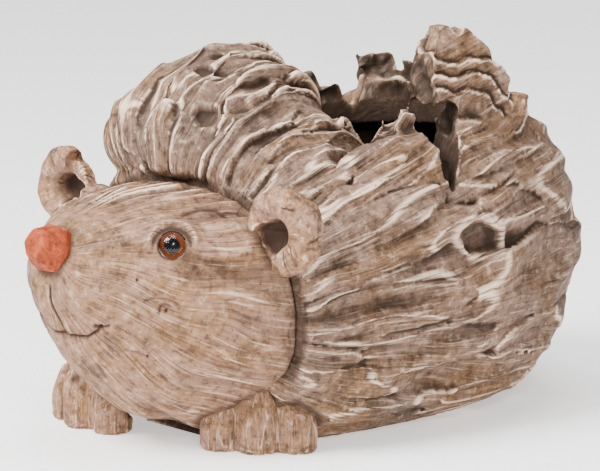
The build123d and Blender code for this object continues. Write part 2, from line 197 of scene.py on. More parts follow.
def offLine(x, y, path):
    # distance from a broken line, in the units of its points
    path = np.array(path, float)
    found = np.full(len(x), 1e9)
    for (ax, ay), (bx, by) in zip(path, path[1:]):
        lx, ly = bx - ax, by - ay
        t = np.clip(((x - ax) * lx + (y - ay) * ly) / max(lx * lx + ly * ly, 1e-9), 0, 1)
        found = np.minimum(found, np.hypot(x - ax - t * lx, y - ay - t * ly))
    return found


def sculptCopy(nodeName, pieceName, voxel, filled=()):
    # a casting's copy, merged, its hidden recess filled, and remeshed fine enough to carve
    piece = bpy.data.objects.new(pieceName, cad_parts[nodeName].data.copy())
    bpy.context.scene.collection.objects.link(piece)
    piece.data.materials.clear()
    pickOnly(piece)
    bpy.ops.object.mode_set(mode="EDIT")
    bpy.ops.mesh.select_all(action="SELECT")
    bpy.ops.mesh.remove_doubles(threshold=0.00001)
    bpy.ops.object.mode_set(mode="OBJECT")
    for zone in filled:
        fillRecess(piece, zone)
    remesh = piece.modifiers.new("clay", "REMESH")
    remesh.mode = "VOXEL"
    remesh.voxel_size = voxel * mm
    bpy.ops.object.modifier_apply(modifier=remesh.name)
    return piece


def fillRecess(piece, zone):
    # the convex form of a corner closes the recess that another piece is glued into
    low, high = np.array(zone[0]) * mm, np.array(zone[1]) * mm
    corner = bpy.data.objects.new("corner", piece.data.copy())
    bpy.context.scene.collection.objects.link(corner)
    pickOnly(corner)
    bpy.ops.object.mode_set(mode="EDIT")
    bpy.ops.mesh.select_all(action="DESELECT")
    bpy.ops.object.mode_set(mode="OBJECT")
    for v in corner.data.vertices:
        v.select = not all(a <= c <= b for a, c, b in zip(low, v.co, high))
    bpy.ops.object.mode_set(mode="EDIT")
    bpy.ops.mesh.select_mode(type="VERT")
    bpy.ops.mesh.delete(type="VERT")
    bpy.ops.mesh.select_all(action="SELECT")
    bpy.ops.mesh.convex_hull(use_existing_faces=False)
    bpy.ops.object.mode_set(mode="OBJECT")
    pickOnly(piece)
    corner.select_set(True)
    bpy.ops.object.join()


def readMesh(piece):
    mesh = piece.data
    co = np.empty(len(mesh.vertices) * 3, np.float32)
    mesh.vertices.foreach_get("co", co)
    links = np.empty(len(mesh.edges) * 2, np.int32)
    mesh.edges.foreach_get("vertices", links)
    return co.reshape(-1, 3) / mm, links.reshape(-1, 2)


def readNormals(piece):
    normals = np.empty(len(piece.data.vertices) * 3, np.float32)
    piece.data.vertex_normals.foreach_get("vector", normals)
    return normals.reshape(-1, 3)


def writeMesh(piece, co):
    piece.data.vertices.foreach_set("co", (co * mm).astype(np.float32).ravel())
    piece.data.update()


def soften(values, links, rounds, share=0.5):
    # averages values with their neighbours, round after round
    flat = values.reshape(len(values), -1).astype(np.float64)
    count = np.bincount(links.ravel(), minlength=len(flat))[:, None].clip(1)
    for _ in range(rounds):
        near = np.stack([np.bincount(links[:, 0], flat[links[:, 1], k], len(flat))
                         + np.bincount(links[:, 1], flat[links[:, 0], k], len(flat))
                         for k in range(flat.shape[1])], 1)
        flat += share * (near / count - flat)
    return flat.reshape(values.shape)


def keepPaint(piece, name, values):
    kind = "FLOAT" if values.ndim == 1 else "FLOAT_VECTOR"
    layer = piece.data.attributes.new(name, kind, "POINT")
    layer.data.foreach_set("value" if values.ndim == 1 else "vector",
                           values.astype(np.float32).ravel())


def seamShade(p, others, reach):
    # 1 where a casting meets its neighbours: wash and painted shade go in the joint
    near = np.full(len(p), float(reach))
    for name in others:
        low, high = (np.array(c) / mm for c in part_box(name))
        close = np.nonzero(np.all((p > low - reach) & (p < high + reach), axis=1))[0]
        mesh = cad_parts[name].data
        tree = BVHTree.FromPolygons([v.co for v in mesh.vertices], [f.vertices for f in mesh.polygons])
        for i in close:
            gap = tree.find_nearest(Vector(p[i] * mm), reach * mm)[3]
            if gap is not None:
                near[i] = min(near[i], gap / mm)
    return 1 - ramp(0, reach, near)


def brushPaint(piece, co, links, finish, crest, shade, bare):
    # dry-brushed crests, and hollows darkened with wash and painted shade, from how far a point stands above its
    # surroundings
    normals = readNormals(piece)
    edge, washAndShade = crest.copy(), shade.copy()
    for rounds, crestStand, hollowDepth in finish["brushPasses"]:
        stand = ((co - soften(co, links, rounds)) * normals).sum(1)
        if crestStand:
            edge = np.maximum(edge, stand / crestStand)
        # points lower than their surroundings are darkened: wash, and painted shade in the widest pass
        washAndShade = np.maximum(washAndShade, -stand / hollowDepth)
    keepPaint(piece, "edge", np.clip(edge, 0, 1) * (1 - np.clip(bare, 0, 1)))
    keepPaint(piece, "washAndShade", np.clip(washAndShade, 0, 1))


def thin(piece, most):
    # brings a sculpted piece under its count of triangles
    triangles = sum(len(p.vertices) - 2 for p in piece.data.polygons)
    if triangles > most:
        pickOnly(piece)
        less = piece.modifiers.new("thin", "DECIMATE")
        less.ratio = most / triangles
        bpy.ops.object.modifier_apply(modifier=less.name)
    pickOnly(piece)
    bpy.ops.object.shade_smooth()
    print(piece.name, triangles, "->", sum(len(p.vertices) - 2 for p in piece.data.polygons))


# pot casting: the quilled body
quills = dict(
    voxel=1.0, most=195000,
    recesses=(((12, -70, -5), (95, -14, 46)),),   # corner that the left paw is glued into
    hollowMiddle=(0, 35, 65), hollowTop=126,      # faces that look this way inwards stay smooth
    bendScale=48, bendReach=6, kinkScale=15, kinkReach=1.6,   # how the strands wander
    source=(0, -170, 55), reference=150,          # strands fan out from ahead of the face
    tailTurn=60, wrapRadius=80,
    plateCells=(16, 16, 66), plateDepth=2.6,      # splintered pieces that overlap
    gougeCells=(11, 11, 60), gougeDepth=4.6,      # hollowed strokes along them
    fineCells=(4.6, 4.6, 34), fineDepth=0.9,
    chipCells=(9, 9, 20), chipDepth=2.0,          # bits broken out of the crown
    crownJag=8, crownFrom=(120, 142), crownBack=(0, 40),   # its strands end at different heights
    proud=1.4,                                    # crests stand this far off the casting
    seam=-53, seamReach=5, seamDepth=1.2,
    wornBehind=(-46, -36), wornUpTo=(100, 112), wornRounds=45,   # the flutes' ends at the neck
    lipFrom=2, lipFull=7,
    rimFrom=112, rimFull=134, rimJag=9,
    crumbleScale=9, crumbleReach=3.4,             # broken edges along the rim
    barkDepth=3.0,                                # lumps inside the rim
    stumpLow=(34, 30, 132), stumpHigh=(90, 92, 180), strataStep=10.5, strataDepth=3.4,
    knots=(                                       # place and radii in pixels of the photograph, bowl and ring in mm
        (481, 238, 20, 17, 2.4, 2.6), (491, 235, 8, 7, 2.4, 0), (470, 248, 5, 5, 2.2, 0),
        (204, 113, 13, 12, 3.4, 0.9), (201, 62, 9, 6, 3.6, 0), (222, 67, 8, 5, 3.2, 0),
    ),
    brushPasses=((2, 0.3, 0.2), (10, 2.0, 0.8), (50, 0, 2.0)),
)


def strandCoords(p):
    w = p.copy()
    for k in range(3):
        w[:, k] += quills["bendReach"] * lattice(p / quills["bendScale"], 11 + k)
        w[:, k] += quills["kinkReach"] * lattice(p / quills["kinkScale"], 15 + k)
    away = w - np.array(quills["source"])
    rise = away[:, 2] * quills["reference"] / np.maximum(away[:, 1], 40)
    reach = np.hypot(w[:, 0], np.maximum(0, w[:, 1] - quills["tailTurn"]))
    across = quills["wrapRadius"] * np.arctan2(rise, reach)
    return np.stack((across, 25 * np.tanh(w[:, 0] / 30), np.linalg.norm(away, axis=1)), 1)


def insideBox(p, low, high):
    return np.all((p > np.array(low)) & (p < np.array(high)), axis=1)


def makePot():
    pot = sculptCopy("pot_casting", "pot", quills["voxel"], quills["recesses"])
    p, links = readMesh(pot)
    normals = readNormals(pot)
    inward = (normals * (p - np.array(quills["hollowMiddle"]))).sum(1) < 0
    smoothInside = inward & (p[:, 2] < quills["hollowTop"])
    base = (p[:, 2] < 0.7) & (normals[:, 2] < -0.5)
    glued = (normals[:, 1] < -0.7) & (np.abs(p[:, 1] - quills["seam"]) < 1.2)
    glued = soften(glued.astype(float), links, 40) > 0.9                  # its outer few mm are rounded over
    outside = soften((~(smoothInside | base | glued)).astype(float), links, 2)
    inside = soften(inward.astype(float), links, 4)
    worn = (1 - ramp(*quills["wornBehind"], p[:, 1])) * (1 - ramp(*quills["wornUpTo"], p[:, 2]))
    rounded = soften(p, links, 5)
    rounded += (soften(rounded, links, quills["wornRounds"]) - rounded) * worn[:, None]
    p = p + (rounded - p) * outside[:, None]
    writeMesh(pot, p)
    normals = soften(readNormals(pot), links, 5)
    normals /= np.linalg.norm(normals, axis=1)[:, None].clip(1e-6)

    q = strandCoords(p)
    plate, owner = overlapping(q, quills["plateCells"], 20)
    plate = soften(plate, links, 3)
    ownGrain = q + owner[:, None] * (170, 90, 0)                          # each piece has its own strokes
    gouge, offCrest = gouged(ownGrain, quills["gougeCells"], 21)
    fine = gouged(ownGrain, quills["fineCells"], 22, 0.4, 0.16)[0]
    splinters = np.maximum(0.3 + 0.7 * ramp(-40, 10, p[:, 1]), 1.4 * ramp(126, 150, p[:, 2]))
    height = quills["proud"] - (quills["plateDepth"] * (1 - np.clip(plate, -0.5, 1.3)) * splinters
                                + quills["gougeDepth"] * (1 - gouge) + quills["fineDepth"] * (1 - fine))

    chips = ramp(0.16, 0.22, lattice(q / np.array(quills["chipCells"]), 33))
    crown = ramp(*quills["crownFrom"], p[:, 2]) * (1 - ramp(*quills["crownBack"], p[:, 1]))
    height -= quills["chipDepth"] * chips * crown
    onStump = soften(insideBox(p, quills["stumpLow"], quills["stumpHigh"]).astype(float), links, 5)
    level = (p[:, 2] + 0.35 * p[:, 1] + 14 * lattice(p / 19, 27) + 4 * lattice(p / 6, 28)) / quills["strataStep"]
    layer = level - np.floor(level)
    strata = -quills["strataDepth"] * (1 - layer) * ramp(0, 0.12, layer) + 1.5 * lattice(p / 6, 29)
    height += (strata - height) * onStump
    bark = quills["barkDepth"] * (lattice(p / 7, 30) + 0.7 * lattice(p / 3, 31)) - 0.6
    height += (bark - height) * inside
    height *= ramp(quills["lipFrom"], quills["lipFull"], p[:, 2])
    seam = seamShade(p, ("head_casting", "ear_left", "ear_right", "paw_left", "paw_right"), quills["seamReach"])
    height = height * (1 - 0.35 * seam) - quills["seamDepth"] * seam

    px, py = seenAt(p)
    near = (normals @ backAxis > 0.05) & (p[:, 0] > -40)
    shade = np.maximum(seam * 0.7, 0.3 * (1 - gouge) * (1 - onStump))
    crest = np.zeros(len(p))
    bare = seam.copy()
    uneven = lattice(p / 7, 26) * 0.28
    for x, y, wide, tall, depth, stand in quills["knots"]:
        ring = np.hypot((px - x) / wide, (py - y) / tall) + uneven
        bowl = near * (1 - ramp(0.7, 1.0, ring))
        lip = near * np.exp(-((ring - 1.15) / 0.25) ** 2)
        height = height * (1 - 0.7 * bowl) + stand * lip - depth * bowl
        crest = np.maximum(crest, lip * 0.25 * stand)
        shade = np.maximum(shade, 0.65 * bowl)
        bare = np.maximum(bare, bowl)
    height = soften(height + quills["crownJag"] * (owner - 0.42) * crown, links, 2)
    p = p + normals * (height * outside)[:, None]
    rim = ramp(quills["rimFrom"], quills["rimFull"], p[:, 2]) * outside
    rim *= ramp(0.02, 0.4, soften((inward & (p[:, 2] > quills["rimFrom"])).astype(float), links, 14))
    p[:, 2] += (soften(owner, links, 4) - 0.6) * quills["rimJag"] * rim * (1 - onStump)
    for k in range(3):
        p[:, k] += quills["crumbleReach"] * rim * lattice(p / quills["crumbleScale"], 35 + k)

    low, high = np.array(cadBounds[0]) / mm, np.array(cadBounds[1]) / mm
    p = np.clip(p, low + 0.05, high - 0.05)
    p[base, 2] = 0
    writeMesh(pot, p)
    brushPaint(pot, p, links, quills, crest * (1 - inside), shade, bare)
    keepPaint(pot, "stroke", offCrest + onStump + inside + bare)
    keepPaint(pot, "grain", q)
    keepPaint(pot, "tone", np.clip(0.5 + 0.6 * (owner - 0.5) + 0.9 * lattice(p / 32, 25), 0, 1))
    # the hollow and the inner rim get a dark coat: partly wash, partly painted shade
    keepPaint(pot, "inside", np.maximum(inside * 0.9, soften(smoothInside.astype(float), links, 4)))
    thin(pot, quills["most"])
    return pot


# head casting: face, cheeks and chin
eyeLow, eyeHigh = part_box("eye_left_lens")
eyeMiddle = (np.array(eyeLow) + np.array(eyeHigh)) / 2 / mm

face = dict(
    voxel=0.8, most=190000,
    recesses=(((-90, -140, -5), (90, -50, 46)),   # low corners that the paws are glued into
              ((-40, -140, 50), (40, -100, 110))),  # the nose's seat
    grainFrom=(0, -128, 88), grainAxis=(0, 1, -0.15), grainRadius=45,
    strokeCells=(10, 10, 58), strokeDepth=3.6,  # shallow gouged strokes, running back from the nose
    seam=-53, creaseWidth=14, creaseDepth=1.0, seamReach=4.5,
    neckFrom=(-64, -56), neckUpTo=(88, 100), neckRounds=40,   # rounded over where it meets the pot
    eyeTurn=48, eyeLift=14,
    lidRadius=10.2, lidWidth=1.5, lidStand=1.3, foldRadius=7.9, foldDepth=0.9, lidPull=0.95,
    socketRadius=6.7, edgeRadius=6.9,
    # lines cut in the face, in the photograph's pixels: path, depth in mm, width in pixels
    cuts=(
        (((58, 329), (66, 335), (77, 338), (88, 337), (97, 332), (101, 326)), 1.3, 1.5),
        (((94, 326), (101, 328), (109, 326)), 0.9, 1.3),
        (((182, 214), (200, 208), (217, 206), (234, 209)), 0.5, 1.8),
        (((124, 350), (137, 353), (147, 357)), 0.3, 1.4),
        (((144, 302), (154, 298), (166, 299), (178, 304)), 0.35, 1.4),
        (((159, 313), (160, 307), (165, 304), (170, 306)), 0.5, 1.9),
    ),
    pits=((137, 280, 2.0), (150, 252, 2.6), (147, 357, 1.8), (166, 311, 2.2)),
    pitDepth=1.0,
    brushPasses=((3, 0.3, 0.2), (12, 1.0, 0.6), (50, 0, 1.8)),
)


def faceCoords(p):
    axis = np.array(face["grainAxis"]) / np.linalg.norm(face["grainAxis"])
    bend = np.stack([lattice(p / 34, 31 + k) for k in range(3)], 1) * 7
    away = p + bend - np.array(face["grainFrom"])
    depth = away @ axis
    flat = away - depth[:, None] * axis
    size = np.linalg.norm(flat, axis=1).clip(1e-3)
    ring = flat / size[:, None] * face["grainRadius"]
    return np.stack((ring[:, 0], ring[:, 2], np.linalg.norm(away, axis=1)), 1)


def eyeAxis(side):
    turn, lift = math.radians(face["eyeTurn"]), math.radians(face["eyeLift"])
    return np.array((side * math.sin(turn) * math.cos(lift),
                     -math.cos(turn) * math.cos(lift), math.sin(lift)))


def makeHead():
    head = sculptCopy("head_casting", "head", face["voxel"], face["recesses"])
    p, links = readMesh(head)
    glued = (readNormals(head)[:, 1] > 0.7) & (p[:, 1] > face["seam"] - 1)
    front = soften((~glued).astype(float), links, 6)
    p = soften(p, links, 8)
    neck = ramp(*face["neckFrom"], p[:, 1]) * (1 - ramp(*face["neckUpTo"], p[:, 2]))
    p += (soften(p, links, face["neckRounds"]) - p) * neck[:, None]
    writeMesh(head, p)
    normals = soften(readNormals(head), links, 5)
    normals /= np.linalg.norm(normals, axis=1)[:, None].clip(1e-6)

    q = faceCoords(p)
    stroke, offCrest = gouged(q, face["strokeCells"], 41, 0.45, 0.09)
    calm = ramp(16, 34, np.linalg.norm(p - np.array((0, -122, 88)), axis=1))    # plain beside the nose
    calm *= 0.45 + 0.55 * ramp(-112, -75, p[:, 1])
    height = -face["strokeDepth"] * (1 - stroke) * calm * (1 + 0.6 * ramp(-92, -68, p[:, 1]))
    crease = np.clip(1 - (face["seam"] - p[:, 1]) / face["creaseWidth"], 0, 1) ** 2
    height = height - face["creaseDepth"] * crease
    seam = seamShade(p, ("pot_casting", "ear_left", "ear_right", "paw_left", "paw_right", "nose"), face["seamReach"])
    shade = np.maximum(np.maximum(0.4 * crease, 0.6 * seam), 0.6 * (1 - stroke) * calm)
    crest = np.zeros(len(p))
    offCrest = offCrest + 0.4 * (1 - calm)
    bare = np.maximum(crease, seam)

    # both cheeks get the cuts that the near one shows
    mirrored = np.sign(p[:, :1]) * (1, 0, 0) + (0, 1, 1)
    px, py = seenAt(p * mirrored)
    facing = (normals * mirrored) @ backAxis > -0.05
    for path, depth, width in face["cuts"]:
        off = offLine(px, py, path) / width
        line = facing * np.exp(-off ** 2)
        height = height - depth * line
        shade = np.maximum(shade, min(0.95, depth + 0.25) * line)
        bare = np.maximum(bare, facing * np.exp(-(off / 2.5) ** 2))
    philtrum = np.exp(-(p[:, 0] / 0.8) ** 2) * ramp(53, 57, p[:, 2]) * (1 - ramp(72, 78, p[:, 2])) * (p[:, 1] < -90)
    height -= philtrum
    shade = np.maximum(shade, 0.9 * philtrum)
    for x, y, radius in face["pits"]:
        off = np.hypot(px - x, py - y) / radius
        pit = facing * np.exp(-off ** 2)
        height = height - face["pitDepth"] * pit
        shade = np.maximum(shade, 0.75 * pit)
        bare = np.maximum(bare, facing * np.exp(-(off / 2.5) ** 2))

    pull = np.zeros_like(p)
    for side in (1, -1):
        axis = eyeAxis(side)
        away = p - eyeMiddle * (side, 1, 1)
        depth = away @ axis
        flat = away - depth[:, None] * axis
        ring = np.linalg.norm(flat, axis=1).clip(1e-3)
        close = (depth > -9) & (depth < 9)
        upper = ramp(-0.35, 0.4, flat[:, 2] / ring) * close
        lid = np.exp(-((ring - face["lidRadius"]) / face["lidWidth"]) ** 2) * upper
        fold = np.exp(-((ring - face["foldRadius"]) / 0.7) ** 2) * upper
        socket = np.exp(-((ring - face["socketRadius"]) / 0.6) ** 2) * close
        around = np.exp(-(ring / 11) ** 4) * close
        height = height * (1 - around) + face["lidStand"] * lid - face["foldDepth"] * fold
        edge = np.exp(-((ring - face["edgeRadius"]) / 1.0) ** 2) * close * (0.75 + 0.25 * upper)
        pull += (axis * 0.9 - flat / ring[:, None] * face["lidPull"]) * edge[:, None]
        crest = np.maximum(crest, 0.3 * lid)
        offCrest = offCrest + around
        shade = np.maximum(shade * (1 - lid), np.maximum(0.95 * fold, 0.7 * socket))
        bare = np.maximum(bare * (1 - lid), np.maximum(fold, socket))
    p = p + normals * (height * front)[:, None] + pull
    low, high = np.array(cadBounds[0]) / mm, np.array(cadBounds[1]) / mm
    p = np.clip(p, low + 0.05, high - 0.05)
    writeMesh(head, p)
    brushPaint(head, p, links, face, crest, shade, bare)
    keepPaint(head, "stroke", offCrest + bare)
    keepPaint(head, "grain", q)
    keepPaint(head, "tone", np.clip(0.5 + 1.1 * lattice(q / np.array((9, 9, 40)), 45), 0, 1))
    thin(head, face["most"])
    return head


# ears: rolled curls, open at the front
ears = dict(
    voxel=0.55, most=60000,
    middle=(70, -62, 99), turns=dict(left=18, right=4),
    rings=11, ringDepth=0.7, ringFrom=6.5, ringFull=9.5,
    hollowRadius=7, mouthAngle=215, mouthReach=6, hollowDepth=4.5,
    brushPasses=((3, 0.2, 0.16), (14, 1.1, 0.7)),
)


def makeEar(side):
    ear = sculptCopy("ear_" + side, "ear" + side.capitalize(), ears["voxel"])
    p, links = readMesh(ear)
    p = soften(p, links, 8)
    writeMesh(ear, p)
    normals = readNormals(ear)
    sign = 1 if side == "left" else -1
    turn = math.radians(ears["turns"][side])
    outward = np.array((sign * math.cos(turn), math.sin(turn), 0))
    look = np.array((sign * math.sin(turn), -math.cos(turn), 0))
    away = p - np.array(ears["middle"]) * (sign, 1, 1)
    sideways = away @ outward
    radius = np.hypot(sideways, away[:, 2])
    angle = np.arctan2(away[:, 2], sideways)
    wander = lattice(p / 11, 51) * 2.4 + lattice(p / 4, 52) * 0.5
    ring = np.exp(-(np.sin(angle * ears["rings"] / 2 + wander * 2) / 0.35) ** 2)
    ring *= ramp(-0.1, 0.3, lattice(p / 9, 55))                       # only some of the lines run right round
    onRoll = ramp(ears["ringFrom"], ears["ringFull"], radius)
    mouthSide = np.cos(angle - math.radians(ears["mouthAngle"]))
    hollowEdge = ears["hollowRadius"] + ears["mouthReach"] * ramp(0.2, 0.95, mouthSide)
    hollow = (1 - ramp(-3, 0, radius - hollowEdge)) * ((away @ look) > -3)
    lump = lattice(p / 8, 53) * 1.6 + lattice(p / 3.5, 56) * 0.6
    height = -ears["ringDepth"] * ring * onRoll + lump * onRoll
    p = p + normals * height[:, None] - look * (ears["hollowDepth"] * hollow)[:, None]
    writeMesh(ear, p)
    seam = seamShade(p, ("head_casting", "pot_casting"), 5)
    brushPaint(ear, p, links, ears, np.zeros(len(p)),
               np.maximum(np.maximum(0.9 * hollow, 0.8 * seam), 0.5 * ring * onRoll), np.maximum(hollow, seam))
    keepPaint(ear, "stroke", np.ones(len(p)))
    keepPaint(ear, "grain", np.stack((angle * 5, p[:, 1] * 0.4, radius * 2), 1))
    keepPaint(ear, "tone", np.clip(0.5 + 1.2 * lattice(p / 12, 54), 0, 1))
    thin(ear, ears["most"])
    return ear


paws = dict(
    voxel=0.6, most=60000, rounding=34, droop=0.34,
    strokeCells=(6.5, 6.5, 40), strokeDepth=1.3,
    ledgeHeight=3.4, ledgeReach=0.6,
    brushPasses=((3, 0.2, 0.16), (14, 1.0, 0.6), (60, 2.6, 1.8)),
)


def makePaw(side):
    paw = sculptCopy("paw_" + side, "paw" + side.capitalize(), paws["voxel"])
    p, links = readMesh(paw)
    flatFoot = p[:, 2] < 0.5
    p = soften(p, links, paws["rounding"])
    low, high = p.min(0), p.max(0)
    off = np.hypot(*((2 * p - low - high) / (high - low))[:, :2].T)
    p[:, 2] *= 1 - paws["droop"] * ramp(0.15, 1.15, off)                  # domed over the toes
    writeMesh(paw, p)
    normals = readNormals(paw)
    stroke, offCrest = gouged(p, paws["strokeCells"], 61, 0.5, 0.14)
    height = -paws["strokeDepth"] * (1 - stroke)
    step = p[:, 2] + 2.5 * lattice(p / 8, 62)
    height += paws["ledgeReach"] * (1 - ramp(paws["ledgeHeight"] - 1.5, paws["ledgeHeight"], step))
    p = p + normals * height[:, None]
    p[:, 2] = np.maximum(p[:, 2], 0)
    p[flatFoot, 2] = 0
    writeMesh(paw, p)
    seam = seamShade(p, ("head_casting", "pot_casting"), 6)
    brushPaint(paw, p, links, paws, np.zeros(len(p)), np.maximum(0.9 * seam, 0.2 * (1 - stroke)), seam)
    keepPaint(paw, "stroke", offCrest + seam)
    keepPaint(paw, "grain", p.copy())
    keepPaint(paw, "tone", np.clip(0.5 + 1.2 * lattice(p / 14, 64), 0, 1))
    thin(paw, paws["most"])
    return paw


nub = dict(voxel=0.5, most=40000, facetCells=(11, 11, 11), facetDepth=0.7,
           brushPasses=((4, 0.12, 0.12), (20, 0.8, 0.6)))


def makeNose():
    nose = sculptCopy("nose", "noseNub", nub["voxel"])
    p, links = readMesh(nose)
    p = soften(p, links, 10)
    writeMesh(nose, p)
    normals = readNormals(nose)
    facet = gouged(p, nub["facetCells"], 71, 0.6)[0]
    p = p - normals * (nub["facetDepth"] * (1 - facet))[:, None]
    writeMesh(nose, p)
    seam = seamShade(p, ("head_casting",), 3)
    brushPaint(nose, p, links, nub, np.zeros(len(p)), 0.7 * seam, seam)
    keepPaint(nose, "stroke", np.ones(len(p)))
    keepPaint(nose, "grain", p * (0.35, 0.35, 6))
    keepPaint(nose, "tone", np.clip(0.5 + 1.2 * lattice(p / 9, 74), 0, 1))
    thin(nose, nub["most"])
    return nose


# cast polyresin, stained brown, wiped back and dry-brushed: dull, dark in the cuts from wash and painted shade, pale
# and streaky on the crests
resinFinish = dict(
    streak=(1.0, 1.0, 24),        # mm, fine grain lines along the strokes
    crack=(3.6, 3.6, 40),         # mm between hairline cracks
    smudge=(13, 13, 13),          # mm, broad patches left by wiping
    stain=(4, 4, 4),              # mm, small dark stains
    grit=(1.5, 1.5, 1.5),         # mm, pinholes and dark dots
    roughness=0.8, bumpHeight=0.5,
)


def resinPaint(name, line, tan, ochre, rose, wash, pale, insideWashAndShade=None):
    material = bpy.data.materials.new(name)
    material.use_nodes = True
    tree = material.node_tree
    tree.nodes.clear()
    pattern = {n: addNode(tree, "ShaderNodeAttribute", dict(attribute_name=n)).outputs["Fac"]
               for n in ("edge", "stroke", "washAndShade", "tone", "inside")}
    grain = addNode(tree, "ShaderNodeAttribute", dict(attribute_name="grain")).outputs["Vector"]
    place = addNode(tree, "ShaderNodeTexCoord").outputs["Object"]
    inMm = addNode(tree, "ShaderNodeMapping", {}, {"Scale": [1 / mm] * 3}, {"Vector": place}).outputs[0]
    for key, source, detail in (("streak", grain, 3), ("crack", grain, 1), ("smudge", inMm, 4), ("stain", inMm, 5),
                                ("grit", inMm, 2)):
        fit = addNode(tree, "ShaderNodeMapping", {}, {"Scale": [1 / s for s in resinFinish[key]]}, {"Vector": source})
        pattern[key] = addNode(tree, "ShaderNodeTexNoise", {}, {"Scale": 1, "Detail": detail, "Roughness": 0.65},
                               {"Vector": fit.outputs[0]}).outputs["Fac"]
    offCrack = addNode(tree, "ShaderNodeMath", dict(operation="SUBTRACT"), {1: 0.5}, {0: pattern["crack"]}).outputs[0]
    pattern["crack"] = addNode(tree, "ShaderNodeMath", dict(operation="ABSOLUTE"), {}, {0: offCrack}).outputs[0]
    brushed = addNode(tree, "ShaderNodeMapRange", {}, {1: 0.34, 2: 0.55, 3: 0.3, 4: 1},
                      {0: pattern["streak"]}).outputs[0]
    offCrest = addNode(tree, "ShaderNodeMath", dict(operation="ABSOLUTE"), {}, {0: pattern["stroke"]}).outputs[0]
    onCrest = addNode(tree, "ShaderNodeMapRange", {}, {1: line[0], 2: 0.0, 4: line[1]}, {0: offCrest}).outputs[0]
    raised = addNode(tree, "ShaderNodeMath", dict(operation="MAXIMUM"), {}, {0: pattern["edge"], 1: onCrest}).outputs[0]
    pattern["dry"] = addNode(tree, "ShaderNodeMath", dict(operation="MULTIPLY"), {}, {0: raised, 1: brushed}).outputs[0]
    colour = addNode(tree, "ShaderNodeMix", dict(data_type="RGBA"), {6: hexColour(tan), 7: hexColour(ochre)},
                     {0: pattern["tone"]}).outputs[2]
    # coats in the order they go on: pattern, where it starts, where it is full, how strong, colour
    # the groove coat darkens hollows and joints: wash and painted shade
    coats = [("smudge", 0.45, 0.65, 0.7, rose), ("smudge", 0.48, 0.32, 0.62, wash), ("stain", 0.48, 0.33, 0.7, wash),
             ("stain", 0.55, 0.68, 0.26, pale), ("streak", 0.46, 0.3, 0.75, wash), ("streak", 0.58, 0.73, 0.45, pale),
             ("crack", 0.02, 0.0, 0.5, wash), ("washAndShade", 0.05, 0.8, 0.95, wash), ("dry", 0.22, 0.8, 0.95, pale),
             ("grit", 0.64, 0.71, 0.8, wash)]
    # the inside coat darkens the hollow: wash and painted shade
    if insideWashAndShade:
        coats.append(("inside", 0, 1, 0.9, insideWashAndShade))
    for key, start, full, strong, coat in coats:
        share = addNode(tree, "ShaderNodeMapRange", {}, {1: start, 2: full, 4: strong}, {0: pattern[key]}).outputs[0]
        colour = addNode(tree, "ShaderNodeMix", dict(data_type="RGBA"), {7: hexColour(coat)},
                         {0: share, 6: colour}).outputs[2]
    bump = addNode(tree, "ShaderNodeBump", {}, {"Strength": 0.8, "Distance": resinFinish["bumpHeight"] * mm},
                   {"Height": pattern["streak"]}).outputs[0]
    shader = addNode(tree, "ShaderNodeBsdfPrincipled", {},
                     {"Roughness": resinFinish["roughness"], "IOR": 1.5, "Specular IOR Level": 0.25},
                     {"Base Color": colour, "Normal": bump}).outputs[0]
    addNode(tree, "ShaderNodeOutputMaterial", {}, {}, {0: shader})
    return material


# crest line's width and strength, then tan, ochre, rose, wash, pale and the wash and painted shade inside the hollow
driftwoodResin = resinPaint("stainedPolyresin", (0.06, 0.85),
                            "#786052", "#805d3c", "#84695b", "#291b12", "#f6d7bd", "#2a1e16")
faceResin = resinPaint("wipedFacePolyresin", (0.1, 0.5),
                       "#8f6d57", "#8e6742", "#987462", "#33221a", "#f6d7bd")
# brush-painted terracotta over the same resin: dull, even, a little paler on the facets' edges
noseTerracotta = resinPaint("terracottaPaintedResin", (0.05, 0.4),
                            "#963f1f", "#923a18", "#9e4a2c", "#561f0e", "#c46c42")

pot = makePot()
pot.data.materials.append(driftwoodResin)
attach(pot, "planter"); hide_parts("pot_casting")
print("pot carved")

head = makeHead()
head.data.materials.append(faceResin)
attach(head, "planter"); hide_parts("head_casting")
print("head carved")

for side in ("left", "right"):
    ear = makeEar(side)
    ear.data.materials.append(faceResin)
    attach(ear, "planter"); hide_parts("ear_" + side)
    paw = makePaw(side)
    paw.data.materials.append(faceResin)
    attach(paw, "planter"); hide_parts("paw_" + side)
noseNub = makeNose()
noseNub.data.materials.append(noseTerracotta)
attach(noseNub, "planter"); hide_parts("nose")
print("ears, paws and nose carved")


# eyes: a painted disc behind a clear domed lens
# acrylic paint on resin: brown ring round a black pupil, thin dark rim
eyes = dict(pupilRadius=3.0, irisRadius=5.6, iris="#3f1d0d", irisInner="#5d2e15", rim="#120a06", pupil="#030202",
            voxel=0.25, polish=14)


